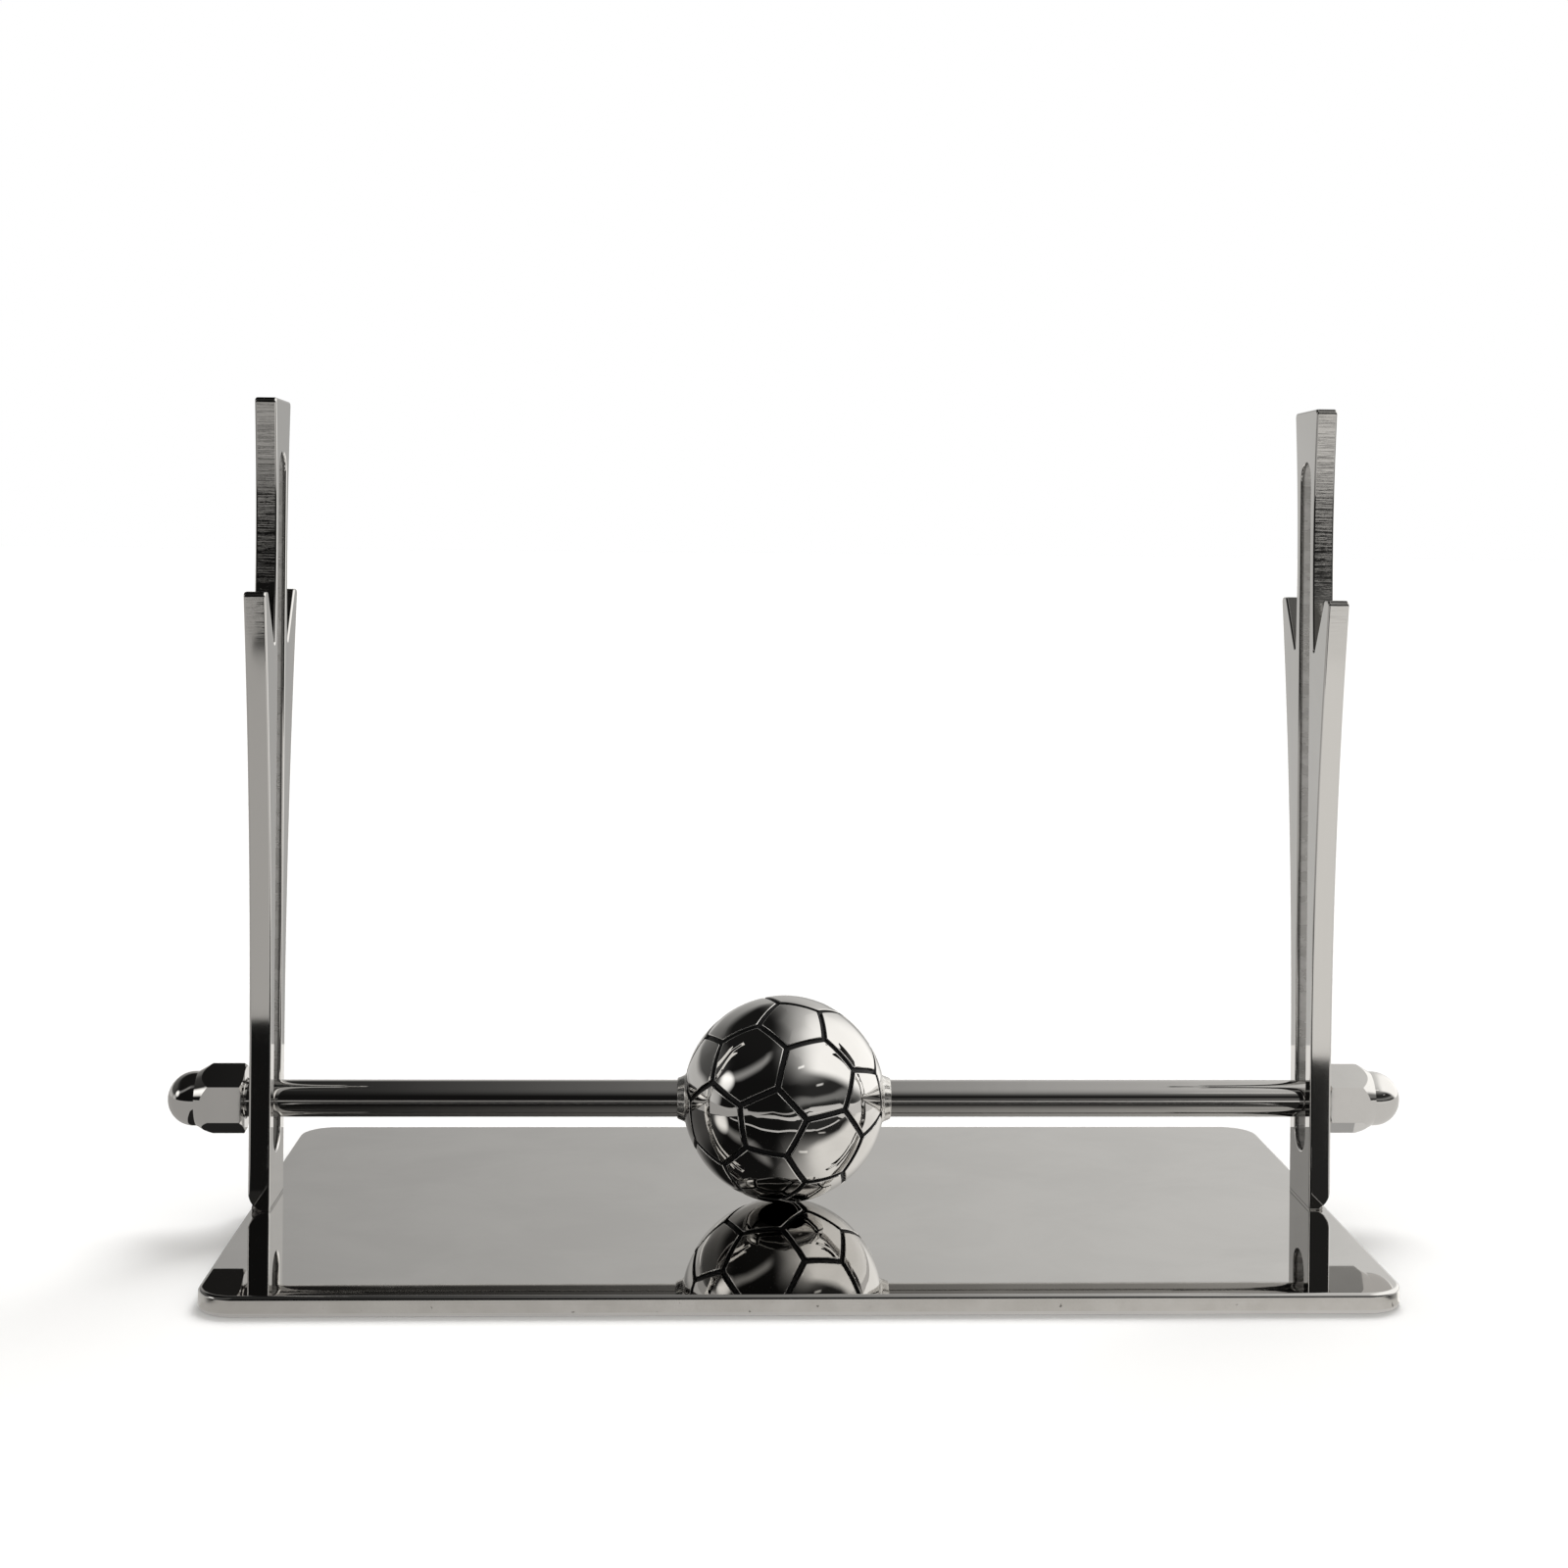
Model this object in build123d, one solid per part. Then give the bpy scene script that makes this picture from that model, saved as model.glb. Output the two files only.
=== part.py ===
from build123d import *
import math
import os

# Flat-stack napkin holder in polished steel, in mm. Z = 0 is the face it rests on,
# X runs along the bar from post to post, and Y is its depth.

# Base plate
base_width = 177.0
base_depth = 100.0
base_thick = 3.0
base_corner_r = 6.0
base_edge_r = 0.6

# End posts: one plate each, cut to a trident and stood on the base's end edges
post_thick = 3.5
post_height = 132.0
foot_half = 6.5
flare_start = 20.0
tip_height = 100.6
tip_half = 15.2
tip_inner_half = 12.4
notch_half = 5.8
notch_height = 91.0
tine_waist_half = 5.1
tine_waist_height = 108.0
tine_top_half = 7.0
tip_r = 0.8
notch_r = 0.5
post_edge_r = 0.35
foot_round_r = 3.0

# Welds: a run of drops in the wedge under each foot's rounded edge, measured
# outwards from the post's inner face
weld_start = 1.3
weld_drops = 9
weld_end_gap = 0.2
drop_end_gap = 0.8
drop_rise = 0.3
drop_variation = 0.14
drop_beat = 2.3
left_weld_reach = 2.5
left_drop_r = 0.75
right_weld_reach = 2.05
right_drop_r = 0.5

# Guide slot in each post
slot_width = 6.5
slot_bottom = 8.4
slot_top = 123.4

# Bar: M6 steel rod with a ball on its middle and a cap nut on each end
rod_d = 6.0
rod_root_d = 4.9
thread_pitch = 1.0
ball_d = 33.6
ball_gap = 0.12
ball_off = 0.9
groove_width = 0.9
groove_depth = 0.5
run_clearance = 0.05
collar_r = 4.3
collar_reach = 17.7
collar_band = 0.25
collar_lip = 0.35
collar_lip_length = 0.2
left_nut_gap = 1.5
right_nut_gap = 0.3
nut_flats = 10.0
nut_length = 12.8
nut_hex_length = 5.5
nut_dome_d = 8.8
nut_crown_angle = 30.0
nut_chamfer = 0.6
nut_bore_depth = 9.2
rod_in_nut = 8.6
thread_runout = 0.5

# Turn of the ball's panel pattern about X, then Y, then Z, in degrees
ball_turn = (149.5, -29.6, 96.1)
# Two corners of the plain icosahedron, with edges 2 long, are neighbours under this
neighbour_span = 2.1

# How near a corner must be to a named level to be picked, and how far cutters run past
pick = 0.1
over = 1.0

# Derived places
post_inner = base_width / 2 - post_thick
post_outer = base_width / 2
axis_z = base_thick + ball_gap + ball_d / 2
ball_x = (right_nut_gap - left_nut_gap) / 2 - ball_off
left_nut_x = -post_outer - left_nut_gap
right_nut_x = post_outer + right_nut_gap


def base_plate():
    plate = extrude(RectangleRounded(base_width, base_depth, base_corner_r), base_thick)
    rims = plate.edges().group_by(Axis.Z)
    return fillet(rims[0] + rims[-1], base_edge_r)


def post_outline():
    waist = (tine_waist_half, tine_waist_height)
    top = (tine_top_half, post_height)
    tip = (tip_half, tip_height)
    inner_tip = (tip_inner_half, tip_height)
    notch = (notch_half, notch_height)
    run = tip_height - flare_start
    out = tip_half - foot_half
    flare_r = (run * run + out * out) / (2 * out)
    lean = math.asin(run / flare_r) / 2
    mid_flare = (
        foot_half + flare_r * (1 - math.cos(lean)),
        flare_start + flare_r * math.sin(lean),
    )
    edges = [
        Line((0, 0), (foot_half, 0)),
        Line((foot_half, 0), (foot_half, flare_start)),
        ThreePointArc((foot_half, flare_start), mid_flare, tip),
        Line(tip, inner_tip),
        Line(inner_tip, notch),
        ThreePointArc(notch, waist, top),
        Line(top, (0, post_height)),
        Line((0, post_height), (0, 0)),
    ]
    half = make_face(Curve() + edges)
    tips = half.vertices().filter_by(lambda v: v.X > tip_inner_half - pick)
    tips = tips.filter_by(lambda v: v.Y > tip_height - pick)
    half = fillet(tips, tip_r)
    tine = half.vertices().filter_by(lambda v: v.Y > post_height - pick and v.X > pick)
    half = fillet(tine, tip_r)
    low = half.vertices().filter_by(lambda v: abs(v.Y - notch_height) < pick)
    half = fillet(low, notch_r)
    return half + mirror(half, Plane.YZ)


def post_plate():
    # Drawn flat with its height along Y, thick along Z from the inner to the outer face.
    plate = extrude(post_outline(), post_thick)
    slot = SlotOverall(slot_top - slot_bottom, slot_width, rotation=90)
    middle = (slot_top + slot_bottom) / 2
    plate -= extrude(Pos(0, middle, 0) * slot, post_thick)
    rims = plate.edges().group_by(Axis.Z)
    rims = (rims[0] + rims[-1]).filter_by(lambda e: e.center().Y > pick)
    return fillet(rims, post_edge_r)


def foot_cutter():
    # What the rounding takes off the foot's outer bottom edge.
    wide = 4 * foot_half
    block = Box(foot_round_r * 2, wide, foot_round_r * 2)
    block = Pos(post_outer, 0, base_thick) * block
    along = Rot(X=90) * Cylinder(foot_round_r, wide + 2 * over)
    centre = Pos(post_outer - foot_round_r, 0, base_thick + foot_round_r)
    return block - centre * along


def right_post():
    stand_up = Plane((post_inner, 0, base_thick), x_dir=(0, 1, 0), z_dir=(1, 0, 0))
    return stand_up.location * post_plate() - foot_cutter()


def left_post():
    return mirror(right_post(), Plane.YZ)


def weld_room():
    # The wedge under the foot's rounded edge, along the right post.
    centre_x = post_outer - foot_round_r
    centre_z = base_thick + foot_round_r
    start_x = post_inner + weld_start
    low_z = centre_z - math.sqrt(foot_round_r**2 - (start_x - centre_x) ** 2)
    bend = foot_round_r * math.sqrt(0.5)
    section = make_face(
        Curve()
        + [
            Line((start_x, 0, base_thick), (post_outer, 0, base_thick)),
            Line((post_outer, 0, base_thick), (post_outer, 0, centre_z)),
            ThreePointArc(
                (post_outer, 0, centre_z),
                (centre_x + bend, 0, centre_z - bend),
                (start_x, 0, low_z),
            ),
            Line((start_x, 0, low_z), (start_x, 0, base_thick)),
        ]
    )
    return extrude(section, foot_half - weld_end_gap, both=True, dir=(0, 1, 0))


def post_weld(reach, drop_r):
    # A run of small drops, a little uneven in size, filling part of that wedge.
    core = Box(reach - weld_start, 2 * foot_half, foot_round_r)
    run = Pos(post_inner + (weld_start + reach) / 2, 0, base_thick) * core
    pitch = 2 * (foot_half - drop_end_gap) / (weld_drops - 1)
    for i in range(weld_drops):
        y = (i - (weld_drops - 1) / 2) * pitch
        size = drop_r * (1 + drop_variation * math.sin(drop_beat * i))
        run += Pos(post_inner + reach, y, base_thick + drop_rise) * Sphere(size)
    return weld_room() & run


def rod():
    # Turned along X, with plain ring grooves as the thread in each nut.
    start = left_nut_x - rod_in_nut
    end = right_nut_x + rod_in_nut
    points = [(start, 0), (start, rod_root_d / 2)]
    for i in range(int(rod_in_nut / thread_pitch)):
        x = start + i * thread_pitch
        points.append((x + 0.5 * thread_pitch, rod_d / 2))
        points.append((x + 1.0 * thread_pitch, rod_root_d / 2))
    points.append((points[-1][0] + thread_runout, rod_d / 2))
    tail = []
    for i in range(int(rod_in_nut / thread_pitch)):
        x = end - i * thread_pitch
        tail.append((x - 0.5 * thread_pitch, rod_d / 2))
        tail.append((x - 1.0 * thread_pitch, rod_root_d / 2))
    tail.append((tail[-1][0] - thread_runout, rod_d / 2))
    points += tail[::-1]
    points += [(end, rod_root_d / 2), (end, 0)]
    section = make_face(Polyline(*[(x, 0, r) for x, r in points], close=True))
    return Pos(0, 0, axis_z) * revolve(section, Axis.X)


def nut_blank():
    # Along +X from the face against the post to the tip of the dome.
    side = nut_flats / 2 / math.cos(math.pi / 6)
    dome_r = nut_dome_d / 2
    bevel = nut_chamfer * math.tan(math.pi / 6)
    crown_end = nut_hex_length + (side - dome_r) / math.tan(math.radians(nut_crown_angle))
    flat = Plane((0, 0, 0), x_dir=(0, 0, 1), z_dir=(1, 0, 0))
    hexagon = extrude(flat * RegularPolygon(side, 6), crown_end)
    crown = make_face(
        Polyline(
            (0, 0, 0),
            (0, 0, side - nut_chamfer),
            (bevel, 0, side),
            (nut_hex_length, 0, side),
            (crown_end, 0, dome_r),
            (crown_end, 0, 0),
            close=True,
        )
    )
    hex_part = hexagon & revolve(crown, Axis.X)
    root = nut_hex_length - over
    straight = nut_length - dome_r
    bend = math.sqrt(0.5) * dome_r
    outline = [
        Line((root, 0, 0), (root, 0, dome_r)),
        Line((root, 0, dome_r), (straight, 0, dome_r)),
        ThreePointArc(
            (straight, 0, dome_r), (straight + bend, 0, bend), (nut_length, 0, 0)
        ),
        Line((nut_length, 0, 0), (root, 0, 0)),
    ]
    cap = revolve(make_face(Curve() + outline), Axis.X)
    bore = Rot(Y=90) * Cylinder(
        rod_d / 2 + run_clearance,
        nut_bore_depth,
        align=(Align.CENTER, Align.CENTER, Align.MIN),
    )
    return hex_part + cap - bore


def right_cap_nut():
    return Pos(right_nut_x, 0, axis_z) * nut_blank()


def left_cap_nut():
    return Pos(left_nut_x, 0, axis_z) * mirror(nut_blank(), Plane.YZ)


def bar_bore(length):
    return Rot(Y=90) * Cylinder(rod_d / 2 + run_clearance, length)


def collar(side):
    # A small soldered ring in the corner between the ball and the rod.
    ball_r = ball_d / 2 + run_clearance
    rod_r = rod_d / 2 + run_clearance
    foot_x = math.sqrt(ball_r**2 - collar_r**2)
    root_x = math.sqrt(ball_r**2 - rod_r**2)
    mid_r = (collar_r + rod_r) / 2
    mid_x = math.sqrt(ball_r**2 - mid_r**2)
    lip = (collar_reach - collar_lip_length, 0, rod_r + collar_lip)
    section = [
        ThreePointArc((foot_x, 0, collar_r), (mid_x, 0, mid_r), (root_x, 0, rod_r)),
        Line((root_x, 0, rod_r), (collar_reach, 0, rod_r)),
        Line((collar_reach, 0, rod_r), lip),
        Line(lip, (foot_x + collar_band, 0, collar_r)),
        Line((foot_x + collar_band, 0, collar_r), (foot_x, 0, collar_r)),
    ]
    ring = revolve(make_face(Curve() + section), Axis.X)
    if side < 0:
        ring = mirror(ring, Plane.YZ)
    return Pos(ball_x, 0, axis_z) * ring


def football_faces():
    # Corners of the 12 pentagons and 20 hexagons, as unit vectors in order round each.
    phi = (1 + math.sqrt(5)) / 2
    tops = []
    for a in (-1, 1):
        for b in (-phi, phi):
            tops += [(0, a, b), (a, b, 0), (b, 0, a)]
    tops = [Vector(*t) for t in tops]
    near = {
        i: [j for j in range(12) if j != i and (tops[i] - tops[j]).length < neighbour_span]
        for i in range(12)
    }

    def cut(i, j):
        return (tops[i] * 2 + tops[j]).normalized()

    faces = []
    for i in range(12):
        faces.append([cut(i, j) for j in near[i]])
    for i in range(12):
        for j in near[i]:
            for k in near[j]:
                if i < j < k and k in near[i]:
                    pairs = ((i, j), (j, i), (j, k), (k, j), (k, i), (i, k))
                    faces.append([cut(*pair) for pair in pairs])
    return [in_order(corners) for corners in faces]


def in_order(corners):
    total = Vector(0, 0, 0)
    for corner in corners:
        total += corner
    middle = total.normalized()
    side = (corners[0] - middle * corners[0].dot(middle)).normalized()
    up = middle.cross(side)
    return sorted(corners, key=lambda c: math.atan2(c.dot(up), c.dot(side)))


def seams():
    # Each pair of neighbouring corners once, as the ends of one seam of the pattern.
    found = {}
    for corners in football_faces():
        for i in range(len(corners)):
            a = corners[i]
            b = corners[(i + 1) % len(corners)]
            middle = (a + b).normalized()
            key = (round(middle.X, 3), round(middle.Y, 3), round(middle.Z, 3))
            found[key] = (a, b)
    return list(found.values())


def groove(a, b, ball_r):
    # A square-cut groove along the great circle from a to b.
    spin = a.cross(b).normalized()
    sweep = math.degrees(math.acos(a.dot(b)))
    past = math.degrees(groove_width / 2 / ball_r)
    tall = groove_depth + over
    ring = Plane((0, 0, 0), x_dir=a, z_dir=spin)
    middle = ball_r + over - tall / 2
    section = Pos(middle, 0, 0) * Rot(X=90) * Rectangle(tall, groove_width)
    cutter = revolve(Rot(Z=-past) * section, Axis.Z, sweep + 2 * past)
    return ring.location * cutter


def ball():
    ball_r = ball_d / 2
    about_x, about_y, about_z = ball_turn
    turn = Rot(Z=about_z) * Rot(Y=about_y) * Rot(X=about_x)
    body = Rot(Y=90) * Sphere(ball_r)
    body -= bar_bore(ball_d + 2 * over)
    for a, b in seams():
        body -= turn * groove(a, b, ball_r)
    return Pos(ball_x, 0, axis_z) * body


def main():
    os.makedirs("parts", exist_ok=True)
    nodes = {
        "base_plate": base_plate(),
        "left_post": left_post(),
        "right_post": right_post(),
        "left_post_weld": mirror(post_weld(left_weld_reach, left_drop_r), Plane.YZ),
        "right_post_weld": post_weld(right_weld_reach, right_drop_r),
        "rod": rod(),
        "ball": ball(),
        "left_collar": collar(-1),
        "right_collar": collar(1),
        "left_cap_nut": left_cap_nut(),
        "right_cap_nut": right_cap_nut(),
    }
    for name, shape in nodes.items():
        export_step(shape, f"parts/{name}.step")
        print(name, round(shape.volume, 1), shape.is_valid)


main()
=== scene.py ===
import math

import bmesh
import bpy
from mathutils import Matrix, Vector
from mathutils.geometry import tessellate_polygon


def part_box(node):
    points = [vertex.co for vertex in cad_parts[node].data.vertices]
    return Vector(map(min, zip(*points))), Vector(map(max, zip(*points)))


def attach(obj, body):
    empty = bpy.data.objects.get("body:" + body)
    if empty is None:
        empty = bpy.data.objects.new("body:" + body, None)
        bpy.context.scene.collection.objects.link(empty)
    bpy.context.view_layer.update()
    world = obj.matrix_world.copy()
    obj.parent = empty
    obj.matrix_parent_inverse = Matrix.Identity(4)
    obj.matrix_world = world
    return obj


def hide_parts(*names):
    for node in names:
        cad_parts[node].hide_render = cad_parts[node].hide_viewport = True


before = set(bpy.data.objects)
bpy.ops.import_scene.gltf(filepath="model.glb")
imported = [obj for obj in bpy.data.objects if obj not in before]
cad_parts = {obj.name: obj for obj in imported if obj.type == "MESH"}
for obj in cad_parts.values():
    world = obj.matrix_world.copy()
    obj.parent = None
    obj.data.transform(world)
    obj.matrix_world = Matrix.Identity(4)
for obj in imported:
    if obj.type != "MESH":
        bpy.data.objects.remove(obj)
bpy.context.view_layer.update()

MM = 0.001

# ---------------------------------------------------------------- sizes, in mm
base_low, base_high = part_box("base_plate")
post_low, post_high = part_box("right_post")
rod_low, rod_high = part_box("rod")
ball_low, ball_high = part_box("ball")
left_nut_low, left_nut_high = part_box("left_cap_nut")
right_nut_low, right_nut_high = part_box("right_cap_nut")

BASE_HALF_X = base_high.x / MM
BASE_HALF_Y = base_high.y / MM
BASE_TOP = base_high.z / MM
BASE_CORNER_R = 6.0
BASE_RIM_R = 0.6

POST_INNER = post_low.x / MM
POST_THICK = (post_high.x - post_low.x) / MM
POST_HEIGHT = (post_high.z - post_low.z) / MM
POST_RIM_R = 0.35
FOOT_HALF = 6.5
FOOT_ROUND_R = 3.0
FLARE_START = 20.0
TIP_HEIGHT = 100.6
TIP_HALF = 15.2
TIP_INNER_HALF = 12.4
NOTCH_HALF = 5.8
NOTCH_HEIGHT = 91.0
WAIST_HALF = 5.1
WAIST_HEIGHT = 108.0
TOP_HALF = 7.0
TIP_R = 0.8
NOTCH_R = 0.5
SLOT_HALF = 3.25
SLOT_BOTTOM = 8.4
SLOT_TOP = 123.4

AXIS_Z = (rod_low.z + rod_high.z) / 2 / MM
ROD_R = (rod_high.z - rod_low.z) / 2 / MM
ROD_ROOT_R = 2.45
THREAD_PITCH = 1.0
THREADED = 8.6
THREAD_RUNOUT = 0.5
THREAD_SOFT_R = 0.12

BALL_X = (ball_low.x + ball_high.x) / 2 / MM
BALL_R = (ball_high.z - ball_low.z) / 2 / MM
BALL_TURN = (149.5, -29.6, 96.1)
GROOVE_DEPTH = 0.5
GROOVE_FLOOR = 0.28
GROOVE_WALL = 0.24
GROOVE_HALF = 0.5
GROOVE_DARK = 0.448
PILLOW_DROP = 0.05
PILLOW_REACH = 2.6
BORE_R = ROD_R + 0.05

NUT_LENGTH = (right_nut_high.x - right_nut_low.x) / MM
NUT_FLATS = 10.0
NUT_HEX_LENGTH = 5.5
NUT_DOME_R = 4.4
NUT_CROWN_ANGLE = 30.0
NUT_CHAMFER = 0.6
NUT_BORE_DEPTH = 9.2

COLLAR_R = 4.3
COLLAR_REACH = 17.7
COLLAR_SINK = 0.3

WELD_START = 1.3
WELD_DROPS = 9
WELD_LENGTH = 2 * FOOT_HALF - 0.4

# Where the scratched part of a post's edge begins and is full, and how high the pale
# sheets and the floor lie, in metres.
SCRATCHED_FROM, SCRATCHED_TO = 0.095, 0.106
SHEET_Z = -0.00001
FLOOR_Z = -0.00002


# ------------------------------------------------------------------- node kit
class Shader:
    """A Principled material and the few node calls that the surfaces here need."""

    def __init__(self, name, metallic=1.0):
        self.material = bpy.data.materials.new(name)
        self.material.use_nodes = True
        self.tree = self.material.node_tree
        self.nodes = self.tree.nodes
        self.shader = self.nodes["Principled BSDF"]
        self.shader.inputs["Metallic"].default_value = metallic
        self.place = self.add("ShaderNodeTexCoord").outputs["Object"]

    def add(self, kind, **settings):
        node = self.nodes.new(kind)
        for key, value in settings.items():
            setattr(node, key, value)
        return node

    def link(self, out, into):
        self.tree.links.new(out, into)

    def stretch(self, sx, sy, sz):
        """The object's own coordinates, counted in waves per metre along each axis."""
        node = self.add("ShaderNodeMapping")
        node.inputs["Scale"].default_value = (sx, sy, sz)
        self.link(self.place, node.inputs["Vector"])
        return node.outputs["Vector"]

    def noise(self, vector, detail=4.0, rough=0.55, warp=0.0):
        node = self.add("ShaderNodeTexNoise")
        node.inputs["Scale"].default_value = 1.0
        node.inputs["Detail"].default_value = detail
        node.inputs["Roughness"].default_value = rough
        node.inputs["Distortion"].default_value = warp
        self.link(vector, node.inputs["Vector"])
        return node.outputs["Fac"]

    def span(self, value, low, high, out_low, out_high):
        node = self.add("ShaderNodeMapRange", interpolation_type="SMOOTHSTEP")
        self.link(value, node.inputs["Value"])
        for name, number in (
            ("From Min", low),
            ("From Max", high),
            ("To Min", out_low),
            ("To Max", out_high),
        ):
            node.inputs[name].default_value = number
        return node.outputs["Result"]

    def maths(self, operation, a, b):
        node = self.add("ShaderNodeMath", operation=operation)
        for socket, value in zip(node.inputs, (a, b)):
            if isinstance(value, (int, float)):
                socket.default_value = value
            else:
                self.link(value, socket)
        return node.outputs[0]

    def blend(self, factor, a, b):
        node = self.add("ShaderNodeMix", data_type="RGBA")
        self.link(factor, node.inputs["Factor"])
        for name, value in (("A", a), ("B", b)):
            socket = [s for s in node.inputs if s.name == name and s.type == "RGBA"][0]
            if isinstance(value, tuple):
                socket.default_value = (*value, 1.0)
            else:
                self.link(value, socket)
        return [s for s in node.outputs if s.type == "RGBA"][0]

    def colour(self, out):
        self.link(out, self.shader.inputs["Base Color"])

    def roughness(self, out):
        self.link(out, self.shader.inputs["Roughness"])

    def bump(self, height, strength, distance):
        node = self.add("ShaderNodeBump")
        node.inputs["Strength"].default_value = strength
        node.inputs["Distance"].default_value = distance
        self.link(height, node.inputs["Height"])
        self.link(node.outputs["Normal"], self.shader.inputs["Normal"])


def polished_steel(name, tint=(0.70, 0.69, 0.675), haze=0.035, lines=(60, 900, 900)):
    """Buffed steel: a mirror with faint hairlines, smudges and a slow tone change."""
    s = Shader(name)
    cloud = s.noise(s.stretch(45, 45, 45), detail=5, rough=0.6, warp=0.4)
    hair = s.noise(s.stretch(*lines), detail=3, rough=0.7)
    darker = tuple(c * 0.93 for c in tint)
    s.colour(s.blend(s.span(cloud, 0.3, 0.7, 0.0, 1.0), darker, tint))
    smudge = s.span(cloud, 0.45, 0.75, haze * 0.6, haze * 1.9)
    scuffs = s.span(hair, 0.55, 0.8, 0.0, haze * 1.2)
    s.roughness(s.maths("ADD", smudge, scuffs))
    s.bump(hair, 0.02, 0.00002)
    return s.material


def linished_edge(name, tint, rough_low, rough_high):
    """A plate's sheared edge: smooth low down, cross-scratched on the tall tine, and with painted
    shade on the ends of the tines that face up."""
    s = Shader(name)
    scratch = s.noise(s.stretch(120, 500, 3600), detail=4, rough=0.7)
    cloud = s.noise(s.stretch(90, 90, 60), detail=4, rough=0.6)
    split = s.add("ShaderNodeSeparateXYZ")
    s.link(s.place, split.inputs[0])
    tall = s.span(split.outputs["Z"], SCRATCHED_FROM, SCRATCHED_TO, 0.0, 1.0)
    marks = s.maths("MULTIPLY", s.span(scratch, 0.42, 0.7, 0.0, 1.0), tall)
    facing = s.add("ShaderNodeSeparateXYZ")
    s.link(s.add("ShaderNodeTexCoord").outputs["Normal"], facing.inputs[0])
    # Painted shade: faces whose normals point upwards are coloured dark.
    up_facing_shade = s.span(facing.outputs["Z"], 0.25, 0.6, 0.0, 1.0)
    worn = tuple(c * 0.8 for c in tint)
    s.colour(s.blend(up_facing_shade, s.blend(marks, tint, worn), (0.11, 0.108, 0.104)))
    base = s.span(cloud, 0.3, 0.7, rough_low, rough_high)
    marked = s.maths("ADD", s.maths("MULTIPLY", marks, 0.13), s.maths("MULTIPLY", up_facing_shade, 0.15))
    s.roughness(s.maths("ADD", base, marked))
    s.bump(marks, 0.22, 0.00003)
    return s.material


def raw_cut(name):
    """The unbuffed wall of the cut slot: painted shade along its inner side, then grey."""
    s = Shader(name, metallic=0.55)
    lines = s.noise(s.stretch(200, 700, 500), detail=3, rough=0.5)
    grey = s.blend(s.span(lines, 0.35, 0.65, 0.0, 1.0), (0.42, 0.413, 0.40), (0.52, 0.512, 0.50))
    split = s.add("ShaderNodeSeparateXYZ")
    s.link(s.place, split.inputs[0])
    deep = s.maths("ABSOLUTE", split.outputs["X"], 0.0)
    # Painted shade: the wall is coloured dark next to the post's inner face, standing in for the
    # shade inside the narrow slot.
    painted_slot_shade = s.span(deep, (POST_INNER + 0.45) * MM, (POST_INNER + 0.85) * MM, 1.0, 0.0)
    s.colour(s.blend(painted_slot_shade, grey, (0.10, 0.098, 0.092)))
    s.roughness(s.span(lines, 0.3, 0.7, 0.24, 0.32))
    s.bump(lines, 0.05, 0.00002)
    return s.material


def satin_edge(name):
    """The plate's rim: satin, with faint pits and hairlines along its length."""
    s = Shader(name)
    cloud = s.noise(s.stretch(140, 140, 140), detail=5, rough=0.6)
    pits = s.noise(s.stretch(900, 900, 900), detail=2, rough=0.5)
    along = s.noise(s.stretch(40, 40, 6000), detail=3, rough=0.6)
    pit = s.span(pits, 0.68, 0.76, 0.0, 1.0)
    body = s.blend(s.span(cloud, 0.3, 0.7, 0.0, 1.0), (0.60, 0.585, 0.555), (0.68, 0.665, 0.64))
    s.colour(s.blend(pit, body, (0.30, 0.29, 0.27)))
    satin = s.span(along, 0.35, 0.7, 0.10, 0.20)
    s.roughness(s.maths("ADD", satin, s.maths("MULTIPLY", pit, 0.3)))
    s.bump(s.maths("SUBTRACT", along, s.maths("MULTIPLY", pit, 2.0)), 0.08, 0.00002)
    return s.material


def patina(name):
    """The blackened floor of the ball's grooves, with a little steel worn through."""
    s = Shader(name, metallic=0.35)
    grain = s.noise(s.stretch(2500, 2500, 2500), detail=4, rough=0.7)
    worn = s.span(grain, 0.62, 0.78, 0.0, 1.0)
    s.colour(s.blend(worn, (0.008, 0.008, 0.009), (0.07, 0.068, 0.065)))
    s.roughness(s.span(grain, 0.3, 0.7, 0.62, 0.42))
    s.bump(grain, 0.4, 0.00005)
    return s.material


def solder(name, dark, light, rough, lumpy):
    """Dull or bright metal that ran and set in lumps."""
    s = Shader(name, metallic=0.9)
    lumps = s.noise(s.stretch(1400, 1400, 1400), detail=5, rough=0.65, warp=0.6)
    s.colour(s.blend(s.span(lumps, 0.35, 0.65, 0.0, 1.0), dark, light))
    s.roughness(s.span(lumps, 0.3, 0.7, rough, rough + 0.15))
    s.bump(lumps, lumpy, 0.0001)
    return s.material


# ------------------------------------------------------------------- mesh kit
def add_object(name, verts, faces, normals=None, materials=(), face_material=None):
    """A smooth mesh from points in mm, with exact normals where they are given."""
    mesh = bpy.data.meshes.new(name)
    mesh.from_pydata([tuple(c * MM for c in v) for v in verts], [], faces)
    for material in materials:
        mesh.materials.append(material)
    mesh.polygons.foreach_set("use_smooth", [True] * len(mesh.polygons))
    if face_material:
        mesh.polygons.foreach_set("material_index", face_material)
    if normals:
        mesh.normals_split_custom_set_from_vertices(normals)
    mesh.validate(clean_customdata=False)
    mesh.update()
    piece = bpy.data.objects.new(name, mesh)
    bpy.context.collection.objects.link(piece)
    return piece


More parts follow.
